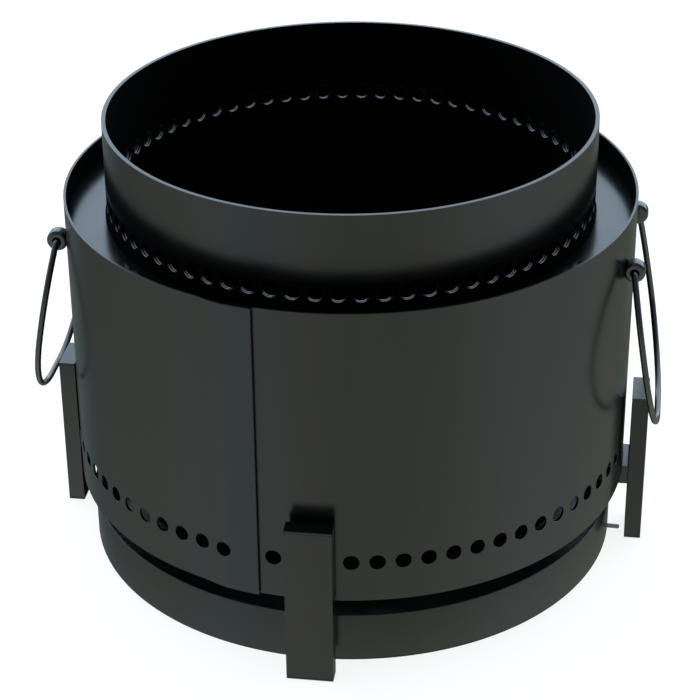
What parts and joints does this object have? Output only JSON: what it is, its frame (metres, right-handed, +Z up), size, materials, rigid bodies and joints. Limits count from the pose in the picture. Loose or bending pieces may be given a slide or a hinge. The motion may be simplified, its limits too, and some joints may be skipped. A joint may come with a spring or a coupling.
{
  "type": "fire stove",
  "caption": "Round double-walled steel fire stove with a raised fire drum, air holes, short legs, swinging handles and an ash pan.",
  "frame": {"origin": "on the ground, under the middle of the drum", "axes": "+Z up along the drum's axis, -Y towards the front leg, +X towards the right handle and leg"},
  "size_m": [0.714, 0.687, 0.5156],
  "materials": {
    "casing_paint": "satin black high-temperature paint",
    "deck_paint": "satin black high-temperature paint",
    "drum_paint": "satin black high-temperature paint",
    "leg_paint": "satin black high-temperature paint",
    "pan_paint": "satin black high-temperature paint",
    "handle_paint": "satin black powder coat",
    "grate_steel": "dark heat-scaled steel",
    "fastener_steel": "zinc-plated steel"
  },
  "bodies": {
    "ash_pan": {"ash_pan_wall": "pan_paint", "ash_pan_floor": "pan_paint", "ash_pan_tab_right": "pan_paint", "ash_pan_tab_left": "pan_paint"},
    "stove": {"outer_casing": "casing_paint", "top_deck": "deck_paint", "drum_guide_tabs": "deck_paint", "leg_tube_front": "leg_paint", "leg_top_cap_front": "leg_paint", "leg_foot_front": "leg_paint", "leg_arm_front": "leg_paint", "leg_tube_right": "leg_paint", "leg_top_cap_right": "leg_paint", "leg_foot_right": "leg_paint", "leg_arm_right": "leg_paint", "leg_tube_back": "leg_paint", "leg_top_cap_back": "leg_paint", "leg_foot_back": "leg_paint", "leg_arm_back": "leg_paint", "leg_tube_left": "leg_paint", "leg_top_cap_left": "leg_paint", "leg_foot_left": "leg_paint", "leg_arm_left": "leg_paint", "handle_boss_right_front": "handle_paint", "handle_boss_right_back": "handle_paint", "boss_screws_right": "fastener_steel", "boss_washers_right": "fastener_steel", "handle_boss_left_front": "handle_paint", "handle_boss_left_back": "handle_paint", "boss_screws_left": "fastener_steel", "boss_washers_left": "fastener_steel"},
    "fire_drum": {"fire_drum": "drum_paint", "grate_lugs": "drum_paint"},
    "fire_grate": {"fire_grate": "grate_steel"},
    "handle_right": {"handle_right": "handle_paint"},
    "handle_left": {"handle_left": "handle_paint"}
  },
  "joints": [
    {"name": "stove_lift", "type": "slide", "parent": "ash_pan", "child": "stove", "axis": [0, 0, 1], "range_m": [0, 0.12]},
    {"name": "drum_lift", "type": "slide", "parent": "stove", "child": "fire_drum", "axis": [0, 0, 1], "range_m": [0, 0.37]},
    {"name": "grate_lift", "type": "slide", "parent": "fire_drum", "child": "fire_grate", "axis": [0, 0, 1], "range_m": [0, 0.41]},
    {"name": "handle_right_swing", "type": "hinge", "parent": "stove", "child": "handle_right", "pos_m": [0.318, 0, 0.3751], "axis": [0, -1, 0], "range_deg": [-1.6, 181.5]},
    {"name": "handle_left_swing", "type": "hinge", "parent": "stove", "child": "handle_left", "pos_m": [-0.318, 0, 0.3751], "axis": [0, 1, 0], "range_deg": [-1.6, 181.5]}
  ]
}
